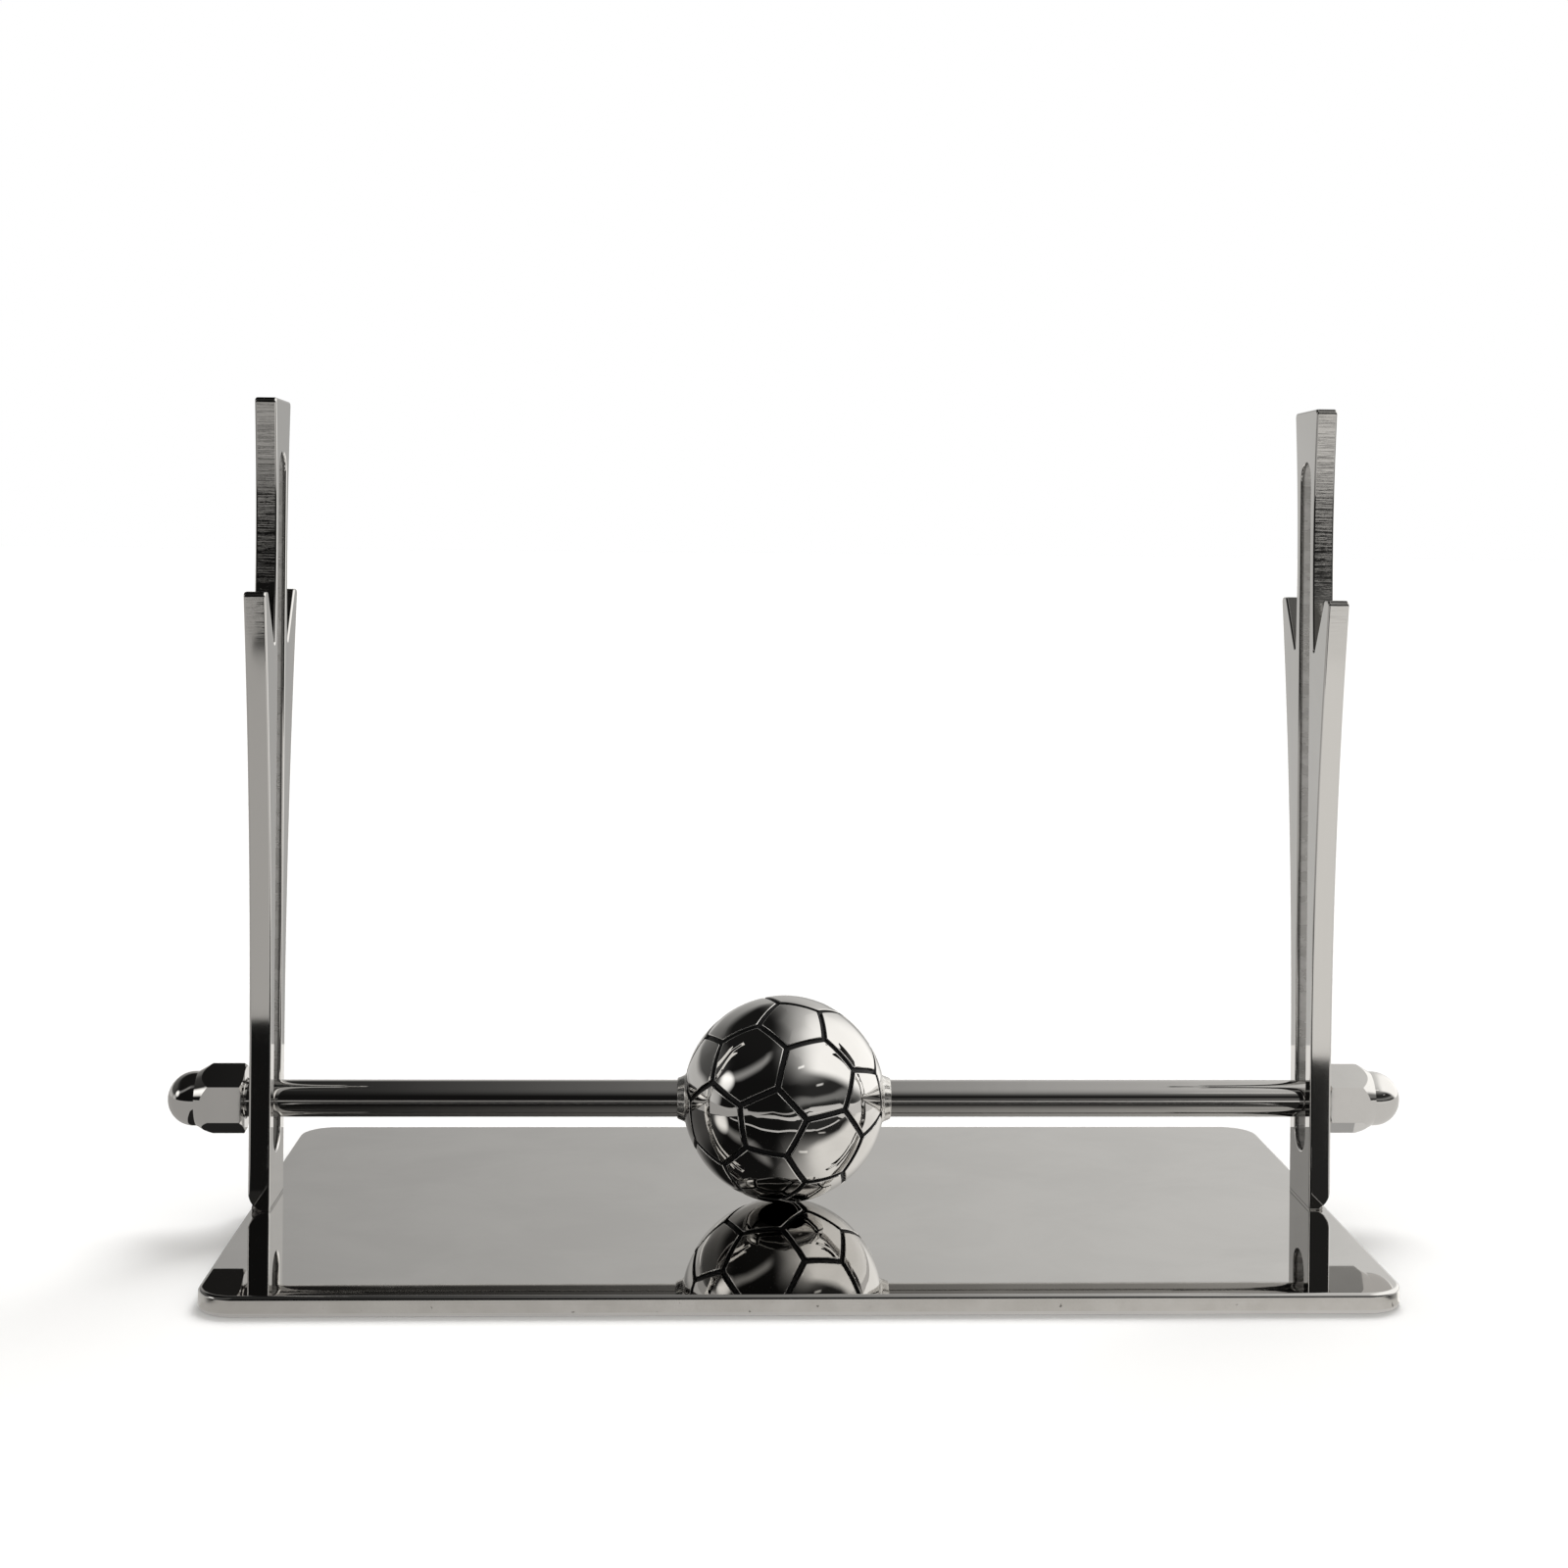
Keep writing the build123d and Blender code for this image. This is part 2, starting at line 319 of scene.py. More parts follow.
def rounded_path(points, closed, arc_step=9.0):
    """(x, y, normal x, normal y) along straight runs joined by arcs; each point is
    (x, y, corner radius), and the normals lie to the right of the way of travel."""
    count = len(points)
    path = []
    for i, (x, y, r) in enumerate(points):
        here = Vector((x, y))
        if not closed and i in (0, count - 1):
            other = Vector(points[1 if i == 0 else count - 2][:2])
            way = (other - here).normalized() * (1 if i == 0 else -1)
            path.append((x, y, way.y, -way.x))
            continue
        before = (here - Vector(points[i - 1][:2])).normalized()
        after = (Vector(points[(i + 1) % count][:2]) - here).normalized()
        turn = math.atan2(before.x * after.y - before.y * after.x, before.dot(after))
        n0 = Vector((before.y, -before.x))
        n1 = Vector((after.y, -after.x))
        if r == 0:
            n = (n0 + n1).normalized()
            path.append((x, y, n.x, n.y))
            continue
        cut = r * math.tan(abs(turn) / 2)
        start = here - before * cut
        centre = start - n0 * r * (1 if turn > 0 else -1)
        steps = max(2, math.ceil(math.degrees(abs(turn)) / arc_step))
        for k in range(steps + 1):
            a = turn * k / steps
            n = Vector((
                n0.x * math.cos(a) - n0.y * math.sin(a),
                n0.x * math.sin(a) + n0.y * math.cos(a),
            ))
            p = centre + n * r * (1 if turn > 0 else -1)
            path.append((p.x, p.y, n.x, n.y))
    return path


def rounded_plate(loops, thick, rim_r, rim_steps=4):
    """Verts, normals, faces and which faces are walls, for a plate with rounded rims.
    The outer loop runs anticlockwise and holes run clockwise; thickness is along Z."""
    verts, normals, faces, wall = [], [], [], []
    rings = []
    for k in range(rim_steps + 1):
        a = math.radians(-90 + 90 * k / rim_steps)
        rings.append((rim_r * (1 - math.cos(a)), rim_r * (1 + math.sin(a)), a))
    for k in range(rim_steps + 1):
        a = math.radians(90 * k / rim_steps)
        rings.append((rim_r * (1 - math.cos(a)), thick - rim_r * (1 - math.sin(a)), a))
    starts = []
    for loop in loops:
        first = len(verts)
        starts.append(first)
        count = len(loop)
        for inset, z, a in rings:
            for x, y, nx, ny in loop:
                verts.append((x - nx * inset, y - ny * inset, z))
                normals.append((nx * math.cos(a), ny * math.cos(a), math.sin(a)))
        for k in range(len(rings) - 1):
            low, high = first + k * count, first + (k + 1) * count
            for i in range(count):
                j = (i + 1) % count
                faces.append((low + i, low + j, high + j, high + i))
                wall.append((1 if len(starts) == 1 else 2) if k == rim_steps else 0)
    last = len(rings) - 1
    for ring, flip in ((0, True), (last, False)):
        ids = []
        contour = []
        for first, loop in zip(starts, loops):
            row = [first + ring * len(loop) + i for i in range(len(loop))]
            ids += row
            contour.append([Vector(verts[i]) for i in row])
        for tri in tessellate_polygon(contour):
            a, b, c = (ids[i] for i in tri)
            up = (Vector(verts[b]) - Vector(verts[a])).cross(Vector(verts[c]) - Vector(verts[a])).z
            order = (a, b, c) if (up > 0) != flip else (a, c, b)
            faces.append(order)
            wall.append(0)
    return verts, normals, faces, wall


def lathe(path, steps=96, centre=(0.0, 0.0, 0.0)):
    """Verts, normals and faces of a surface turned about X from an open path of
    (x, r, normal x, normal r). Its two ends lie close to the axis and stay open."""
    verts, normals, faces = [], [], []
    cx, cy, cz = centre
    for x, r, nx, nr in path:
        for i in range(steps):
            a = 2 * math.pi * i / steps
            verts.append((cx + x, cy + r * math.cos(a), cz + r * math.sin(a)))
            normals.append((nx, nr * math.cos(a), nr * math.sin(a)))
    for k in range(len(path) - 1):
        for i in range(steps):
            j = (i + 1) % steps
            faces.append((k * steps + i, k * steps + j, (k + 1) * steps + j, (k + 1) * steps + i))
    return verts, normals, faces


# --------------------------------------------------------------------- pieces
def make_base(top, edge):
    """The tray plate, with rounded corners and rims."""
    x, y = BASE_HALF_X, BASE_HALF_Y
    corners = [(-x, -y), (x, -y), (x, y), (-x, y)]
    loop = rounded_path([(a, b, BASE_CORNER_R) for a, b in corners], True, arc_step=4)
    verts, normals, faces, wall = rounded_plate([loop], BASE_TOP, BASE_RIM_R, rim_steps=6)
    return add_object("tray_plate", verts, faces, normals, (top, edge), wall)


def post_loops():
    """The post's outline and its slot, with X across the post and Y up it."""
    run = TIP_HEIGHT - FLARE_START
    out = TIP_HALF - FOOT_HALF
    flare_r = (run * run + out * out) / (2 * out)
    side = [(FOOT_HALF, 0.0, 0.25)]
    steps = 28
    for k in range(steps):
        h = FLARE_START + run * k / steps
        side.append((FOOT_HALF + flare_r - math.sqrt(flare_r**2 - (h - FLARE_START)**2), h, 0))
    side.append((TIP_HALF, TIP_HEIGHT, TIP_R))
    side.append((TIP_INNER_HALF, TIP_HEIGHT, TIP_R))
    side.append((NOTCH_HALF, NOTCH_HEIGHT, NOTCH_R))
    # The tall tine's side is the arc through the notch, the waist and the top.
    (ax, ay), (bx, by), (cx, cy) = (
        (NOTCH_HALF, NOTCH_HEIGHT),
        (WAIST_HALF, WAIST_HEIGHT),
        (TOP_HALF, POST_HEIGHT),
    )
    d = 2 * (ax * (by - cy) + bx * (cy - ay) + cx * (ay - by))
    aa, bb, cc = ax * ax + ay * ay, bx * bx + by * by, cx * cx + cy * cy
    ux = (aa * (by - cy) + bb * (cy - ay) + cc * (ay - by)) / d
    uy = (aa * (cx - bx) + bb * (ax - cx) + cc * (bx - ax)) / d
    r = math.hypot(ax - ux, ay - uy)
    steps = 20
    for k in range(1, steps):
        h = NOTCH_HEIGHT + (POST_HEIGHT - NOTCH_HEIGHT) * k / steps
        side.append((ux - math.sqrt(r * r - (h - uy)**2), h, 0))
    side.append((TOP_HALF, POST_HEIGHT, TIP_R))
    mirrored = [(-a, h, r) for a, h, r in reversed(side)]
    outline = rounded_path(side + mirrored, True)
    low, high = SLOT_BOTTOM, SLOT_TOP
    up_facing_shade = [(-SLOT_HALF, low), (-SLOT_HALF, high), (SLOT_HALF, high), (SLOT_HALF, low)]
    slot = rounded_path([(a, h, SLOT_HALF - 0.001) for a, h in up_facing_shade], True)
    return [outline, slot]


def make_post(name, sign, face, edge, slot):
    """sign is +1 for the right post and -1 for the left."""
    verts, normals, faces, wall = rounded_plate(post_loops(), POST_THICK, POST_RIM_R)
    mesh = bmesh.new()
    layer = mesh.verts.layers.float_vector.new("n")
    made = []
    for v, n in zip(verts, normals):
        vert = mesh.verts.new(v)
        vert[layer] = n
        made.append(vert)
    for corners, w in zip(faces, wall):
        f = mesh.faces.new([made[i] for i in corners])
        f.material_index = w
    # The foot's outer edge is rounded: cut level lines there, then thin the plate.
    cuts = 10
    for k in range(1, cuts + 1):
        h = FOOT_ROUND_R * (1 - math.cos(math.pi / 2 * k / cuts))
        geom = mesh.verts[:] + mesh.edges[:] + mesh.faces[:]
        bmesh.ops.bisect_plane(mesh, geom=geom, plane_co=(0, h, 0), plane_no=(0, 1, 0), dist=1e-6)
    flat = POST_THICK - FOOT_ROUND_R
    for v in mesh.verts:
        n = Vector(v[layer]).normalized()
        h = max(v.co.y, 0.004)
        if h < FOOT_ROUND_R:
            reach = math.sqrt(FOOT_ROUND_R**2 - (FOOT_ROUND_R - h)**2)
            scale = (flat + reach) / POST_THICK
            slope = (FOOT_ROUND_R - h) / reach / POST_THICK
            n = Vector((n.x, n.y - n.z * v.co.z * slope / scale, n.z / scale)).normalized()
            v.co.z *= scale
        v[layer] = n
    # Across the post is Y, up it is Z, and its thickness runs outwards along X.
    points, out_normals = [], []
    mesh.verts.ensure_lookup_table()
    for v in mesh.verts:
        n = v[layer]
        points.append((sign * (POST_INNER + v.co.z), v.co.x, BASE_TOP + v.co.y))
        out_normals.append((sign * n[2], n[0], n[1]))
    mesh.verts.index_update()
    loops, kinds = [], []
    for f in mesh.faces:
        ids = [v.index for v in f.verts]
        loops.append(ids if sign > 0 else ids[::-1])
        kinds.append(f.material_index)
    mesh.free()
    return add_object(name, points, loops, out_normals, (face, edge, slot), kinds)


def make_rod(material):
    """The bar, turned along X, with ring grooves for its threaded ends."""
    start, end = rod_low.x / MM, rod_high.x / MM
    soft = THREAD_SOFT_R
    left = [(start, 0.0, 0), (start, ROD_ROOT_R, soft)]
    right = [(end, ROD_ROOT_R, soft), (end, 0.0, 0)]
    for i in range(int(THREADED / THREAD_PITCH)):
        left.append((start + (i + 0.5) * THREAD_PITCH, ROD_R, soft))
        left.append((start + (i + 1.0) * THREAD_PITCH, ROD_ROOT_R, soft))
        right.insert(0, (end - (i + 0.5) * THREAD_PITCH, ROD_R, soft))
        right.insert(0, (end - (i + 1.0) * THREAD_PITCH, ROD_ROOT_R, soft))
    left.append((left[-1][0] + THREAD_RUNOUT, ROD_R, soft))
    right.insert(0, (right[0][0] - THREAD_RUNOUT, ROD_R, soft))
    path = rounded_path(left + right, False, arc_step=20)
    # Travelling towards +X with the axis on the right, the outward normals are the left ones.
    path = [(x, max(r, 0.01), -nx, -nr) for x, r, nx, nr in path]
    verts, normals, faces = lathe(path, 96, (0, 0, AXIS_Z))
    return add_object("slide_rod", verts, faces, normals, (material,))


def make_collar(name, side, material):
    """An uneven solder fillet in the corner between the ball and the bar; its section
    is (distance from the ball's middle, radius, rounding)."""
    foot_x = math.sqrt((BALL_R - COLLAR_SINK)**2 - COLLAR_R**2)
    points = [
        (foot_x, COLLAR_R - 0.35, 0),
        (foot_x + 0.1, COLLAR_R, 0.08),
        (foot_x + 0.55, COLLAR_R - 0.55, 0.5),
        (COLLAR_REACH - 0.1, BORE_R + 0.25, 0.12),
        (COLLAR_REACH, BORE_R, 0),
        (foot_x + 0.1, BORE_R, 0),
    ]
    path = rounded_path(points, True, arc_step=15)
    steps = 72
    verts, faces = [], []
    count = len(path)
    for i in range(steps):
        a = 2 * math.pi * i / steps
        wave = 1 + 0.035 * math.sin(3 * a + side) + 0.02 * math.sin(7 * a + 2 * side)
        for x, r, _, _ in path:
            swell = BORE_R + (r - BORE_R) * wave
            verts.append((
                BALL_X + side * x,
                swell * math.cos(a),
                AXIS_Z + swell * math.sin(a),
            ))
    for i in range(steps):
        j = (i + 1) % steps
        for k in range(count):
            m = (k + 1) % count
            quad = (i * count + k, j * count + k, j * count + m, i * count + m)
            faces.append(quad if side > 0 else quad[::-1])
    piece = add_object(name, verts, faces, None, (material,))
    outwards(piece)
    return piece


def outwards(piece):
    """Join the piece's loose points and turn every face outwards."""
    mesh = bmesh.new()
    mesh.from_mesh(piece.data)
    bmesh.ops.remove_doubles(mesh, verts=mesh.verts, dist=1e-7)
    bmesh.ops.recalc_face_normals(mesh, faces=mesh.faces)
    mesh.to_mesh(piece.data)
    mesh.free()


def make_nut(name, side, face_x, material):
    """A domed cap nut: rows of points run from the bore, round the hexagon, over the
    crown and the dome to its tip, along every one of its columns."""
    corner_r = NUT_FLATS / 2 / math.cos(math.pi / 6)
    slope = math.tan(math.radians(NUT_CROWN_ANGLE))
    bevel = math.tan(math.radians(30))
    dome_x = NUT_HEX_LENGTH + (corner_r - NUT_DOME_R) / slope
    straight = NUT_LENGTH - NUT_DOME_R
    columns = 6 * 16
    verts, faces = [], []
    for i in range(columns):
        a = 2 * math.pi * i / columns
        # Corners stand straight up and down, so flats face front and back.
        off = (a - math.pi / 2 + math.pi / 6) % (math.pi / 3) - math.pi / 6
        hex_r = NUT_FLATS / 2 / math.cos(math.pi / 6 - abs(off))
        front_x = max(0.0, (hex_r - (corner_r - NUT_CHAMFER)) * bevel)
        crown_x = NUT_HEX_LENGTH + (corner_r - hex_r) / slope
        row = [
            (NUT_BORE_DEPTH, 0.02),
            (NUT_BORE_DEPTH, BORE_R),
            (0.25, BORE_R),
            (0.0, BORE_R + 0.3),
            (0.0, corner_r - NUT_CHAMFER if front_x else hex_r),
            (front_x, hex_r),
        ]
        for k in range(1, 4):
            row.append((front_x + (crown_x - front_x) * k / 4, hex_r))
        row.append((crown_x, hex_r))
        for k in range(1, 5):
            t = k / 5
            row.append((crown_x + (dome_x - crown_x) * t, hex_r + (NUT_DOME_R - hex_r) * t))
        row.append((dome_x, NUT_DOME_R))
        row.append((straight, NUT_DOME_R))
        for k in range(1, 16):
            t = math.pi / 2 * k / 16
            row.append((straight + NUT_DOME_R * math.sin(t), NUT_DOME_R * math.cos(t)))
        row.append((NUT_LENGTH, 0.02))
        for x, r in row:
            verts.append((face_x + side * x, r * math.cos(a), AXIS_Z + r * math.sin(a)))
    rows = len(verts) // columns
    for i in range(columns):
        j = (i + 1) % columns
        for k in range(rows - 1):
            faces.append((i * rows + k, j * rows + k, j * rows + k + 1, i * rows + k + 1))
    for end in (0, rows - 1):
        faces.append(tuple(i * rows + end for i in range(columns)))
    piece = add_object(name, verts, faces, None, (material,))
    outwards(piece)
    round_edges(piece, 0.1 * MM, 3, 22)
    return piece


def round_edges(piece, width, segments, angle):
    bevel = piece.modifiers.new("rounded", "BEVEL")
    bevel.width = width
    bevel.segments = segments
    bevel.limit_method = "ANGLE"
    bevel.angle_limit = math.radians(angle)
    bevel.harden_normals = True
    bevel.use_clamp_overlap = True


def football_faces():
    """The corners of the 12 pentagons and 20 hexagons, in order round each."""
    phi = (1 + math.sqrt(5)) / 2
    tops = []
    for a in (-1, 1):
        for b in (-phi, phi):
            tops += [Vector((0, a, b)), Vector((a, b, 0)), Vector((b, 0, a))]
    near = [
        [j for j in range(12) if j != i and (tops[i] - tops[j]).length < 2.1]
        for i in range(12)
    ]

    def cut(i, j):
        return (tops[i] * 2 + tops[j]).normalized()

    faces = [[cut(i, j) for j in near[i]] for i in range(12)]
    for i in range(12):
        for j in near[i]:
            for k in near[j]:
                if i < j < k and k in near[i]:
                    pairs = ((i, j), (j, i), (j, k), (k, j), (k, i), (i, k))
                    faces.append([cut(*pair) for pair in pairs])
    ordered = []
    for corners in faces:
        middle = sum(corners, Vector()).normalized()
        side = (corners[0] - middle * corners[0].dot(middle)).normalized()
        up = middle.cross(side)
        ordered.append(sorted(corners, key=lambda c: math.atan2(c.dot(up), c.dot(side))))
    return ordered


def smooth(t):
    t = min(max(t, 0.0), 1.0)
    return t * t * (3 - 2 * t)


def panel_radius(gap):
    """The ball's radius at a distance from the nearest seam: groove, rim, then crown."""
    wall = smooth((gap - GROOVE_FLOOR) / GROOVE_WALL)
    pillow = 1 - smooth((gap - GROOVE_HALF) / PILLOW_REACH)
    return BALL_R - GROOVE_DEPTH * (1 - wall) - PILLOW_DROP * pillow * wall


def panel_normal(p, seam, gap):
    """The exact normal where p is the direction from the middle of the ball."""
    step = 0.01
    slope = (panel_radius(gap + step) - panel_radius(gap - step)) / (2 * step)
    inward = (seam - p * seam.dot(p)).normalized()
    return (p - inward * slope).normalized()


def make_ball(panel_material, groove_material):
    """The football: 32 crowned panels that share the floor of the grooves."""
    about_x, about_y, about_z = (math.radians(a) for a in BALL_TURN)
    turn = (
        Matrix.Rotation(about_z, 3, "Z")
        @ Matrix.Rotation(about_y, 3, "Y")
        @ Matrix.Rotation(about_x, 3, "X")
    )
    # How far from its seam each ring of a panel lies, in mm; closest in the groove.
    rings = [0.0, 0.24, 0.31, 0.38, 0.44, 0.5, 0.6, 0.8, 1.05, 1.35, 1.7, 2.1, 2.6, 3.2, 4.0, 4.9]
    clear_middle = 0.6
    along = 14
    verts, normals, faces, kinds = [], [], [], []
    shared = {}

    def add_point(p, gap, seam):
        """A point of the surface; the points along a seam are shared by its panels."""
        point = p * panel_radius(gap)
        key = tuple(round(c, 4) for c in point)
        if gap == 0 and key in shared:
            return shared[key]
        shared[key] = len(verts)
        verts.append(point)
        normals.append(panel_normal(p, seam, gap))
        return len(verts) - 1

    for corners in football_faces():
        corners = [turn @ c for c in corners]
        count = len(corners)
        middle = sum(corners, Vector()).normalized()
        seams = [corners[i].cross(corners[(i + 1) % count]).normalized() for i in range(count)]
        depth = math.asin(seams[0].dot(middle)) * BALL_R
        used = [g for g in rings if g < depth - clear_middle]
        loops = []
        for gap in used:
            # A ring is the panel's outline moved towards its middle by the gap.
            lean = math.sin(gap / BALL_R) / seams[0].dot(middle)
            loop = []
            for i in range(count):
                a = corners[i]
                b = corners[(i + 1) % count]
                for k in range(along):
                    p = (a.lerp(b, k / along) * (1 - lean) + middle * lean).normalized()
                    near = min(seams, key=lambda n: n.dot(p))
                    reach = math.asin(max(0.0, near.dot(p))) * BALL_R if gap else 0.0
                    loop.append(add_point(p, reach, near))
            loops.append(loop)
        # The crown's last rings close on a single point.
        rim = [Vector(verts[i]).normalized() for i in loops[-1]]
        for share in (0.66, 0.33):
            crown = [middle.lerp(p, share).normalized() for p in rim]
            loops.append([add_point(p, depth, middle) for p in crown])
        for k in range(len(loops) - 1):
            low, high = loops[k], loops[k + 1]
            in_groove = k + 1 < len(used) and used[k + 1] <= GROOVE_DARK
            for i in range(len(low)):
                j = (i + 1) % len(low)
                faces.append((low[i], low[j], high[j], high[i]))
                kinds.append(1 if in_groove else 0)
        hub = add_point(middle, depth, middle)
        for i in range(len(rim)):
            faces.append((loops[-1][i], loops[-1][(i + 1) % len(rim)], hub))
            kinds.append(0)
    centre = Vector((BALL_X, 0, AXIS_Z))
    verts = [Vector(v) + centre for v in verts]
    return add_object("football", verts, faces, normals, (panel_material, groove_material), kinds)


def make_weld(name, sign, reach, drop_r, material):
    """Small drops run together in the wedge under the foot's rounded edge."""
    centre_x = POST_THICK - FOOT_ROUND_R
    across, along = 14, 90
    verts, faces = [], []
    for i in range(along + 1):
        y = -WELD_LENGTH / 2 + WELD_LENGTH * i / along
        uneven = 0.6 * math.sin(5.1 * y)
        beat = 0.5 + 0.5 * math.cos(2 * math.pi * WELD_DROPS * (i / along) + uneven)
        swell = reach - 0.1 + drop_r * (0.25 + 0.3 * beat + 0.06 * math.sin(3.7 * y))
        if i in (0, along):
            swell = reach - 0.4
        roof = min(swell - centre_x, FOOT_ROUND_R * 0.96)
        top = FOOT_ROUND_R - math.sqrt(FOOT_ROUND_R**2 - roof**2)
        row = [(WELD_START, 0.0)]
        for k in range(across + 1):
            # A belly between the base plate and the foot's curve.
            t = k / across
            belly = math.sin(math.pi * t) * 0.14
            row.append((swell - 0.05 * t + belly, top * t))
        low = WELD_START - centre_x
        row.append((WELD_START, FOOT_ROUND_R - math.sqrt(FOOT_ROUND_R**2 - low**2)))
        for x, z in row:
            verts.append((sign * (POST_INNER + x), y, BASE_TOP + z))
    count = across + 3
    for i in range(along):
        for k in range(count):
            m = (k + 1) % count
            faces.append((i * count + k, (i + 1) * count + k, (i + 1) * count + m, i * count + m))
    faces.append(tuple(range(count)))
    faces.append(tuple(along * count + k for k in range(count)))
    piece = add_object(name, verts, faces, None, (material,))
    outwards(piece)
    return piece


# ------------------------------------------------------------------ the scene
def make_camera():
    """Level, turned a little to the right, with the vertical shift that keeps the
    posts upright in the picture."""
    lens, shift = 54.03, -0.1493
    place = Vector((-17.1, -390.6, 111.0)) * MM
    turn, roll = math.radians(2.17), math.radians(0.52)
    data = bpy.data.cameras.new("camera")
    data.lens = lens
    data.sensor_width = 36.0
    data.shift_y = shift
    data.clip_start = 0.01
    forward = Vector((math.sin(turn), math.cos(turn), 0))
    right = Vector((math.cos(turn), -math.sin(turn), 0))
    up = Vector((0, 0, 1))
    x_axis = right * math.cos(roll) + up * math.sin(roll)
    y_axis = up * math.cos(roll) - right * math.sin(roll)
    camera = bpy.data.objects.new("camera", data)
    camera.matrix_world = Matrix((
        (x_axis.x, y_axis.x, -forward.x, place.x),
        (x_axis.y, y_axis.y, -forward.y, place.y),
        (x_axis.z, y_axis.z, -forward.z, place.z),
        (0, 0, 0, 1),
    ))
    bpy.context.collection.objects.link(camera)
    bpy.context.scene.camera = camera


class Sky:
    """The studio as the metal sees it, worked out from direction alone."""

    def __init__(self):
        self.world = bpy.data.worlds.new("studio")
        bpy.context.scene.world = self.world
        self.world.use_nodes = True
        self.tree = self.world.node_tree
        self.nodes = self.tree.nodes
        self.nodes.clear()
        place = self.nodes.new("ShaderNodeTexCoord")
        split = self.nodes.new("ShaderNodeSeparateXYZ")
        self.way = place.outputs["Generated"]
        self.tree.links.new(self.way, split.inputs[0])
        self.x, self.y, self.z = split.outputs

    def put(self, socket, value):
        if isinstance(value, (int, float)):
            socket.default_value = value
        else:
            self.tree.links.new(value, socket)

    def ramp(self, value, low, high, out_low, out_high):
        node = self.nodes.new("ShaderNodeMapRange")
        node.interpolation_type = "SMOOTHSTEP"
        inputs = (value, low, high, out_low, out_high)
        for socket, v in zip(node.inputs, inputs):
            self.put(socket, v)
        return node.outputs["Result"]

    def maths(self, operation, a, b):
        node = self.nodes.new("ShaderNodeMath")
        node.operation = operation
        self.put(node.inputs[0], a)
        self.put(node.inputs[1], b)
        return node.outputs[0]

    def mix(self, factor, a, b):
        """a where factor is 0 and b where it is 1, on plain numbers."""
        node = self.nodes.new("ShaderNodeMix")
        node.data_type = "FLOAT"
        self.put(node.inputs["Factor"], factor)
        self.put(node.inputs["A"], a)
        self.put(node.inputs["B"], b)
        return node.outputs["Result"]

    def towards(self, way):
        """How nearly a direction points the given way."""
        node = self.nodes.new("ShaderNodeVectorMath")
        node.operation = "DOT_PRODUCT"
        self.put(node.inputs[0], self.way)
        node.inputs[1].default_value = Vector(way).normalized()
        return node.outputs["Value"]

    def band(self, value, low, high, soft):
        """1 between low and high, with soft edges."""
        rise = self.ramp(value, low - soft, low + soft, 0.0, 1.0)
        fall = self.ramp(value, high - soft, high + soft, 1.0, 0.0)
        return self.maths("MULTIPLY", rise, fall)


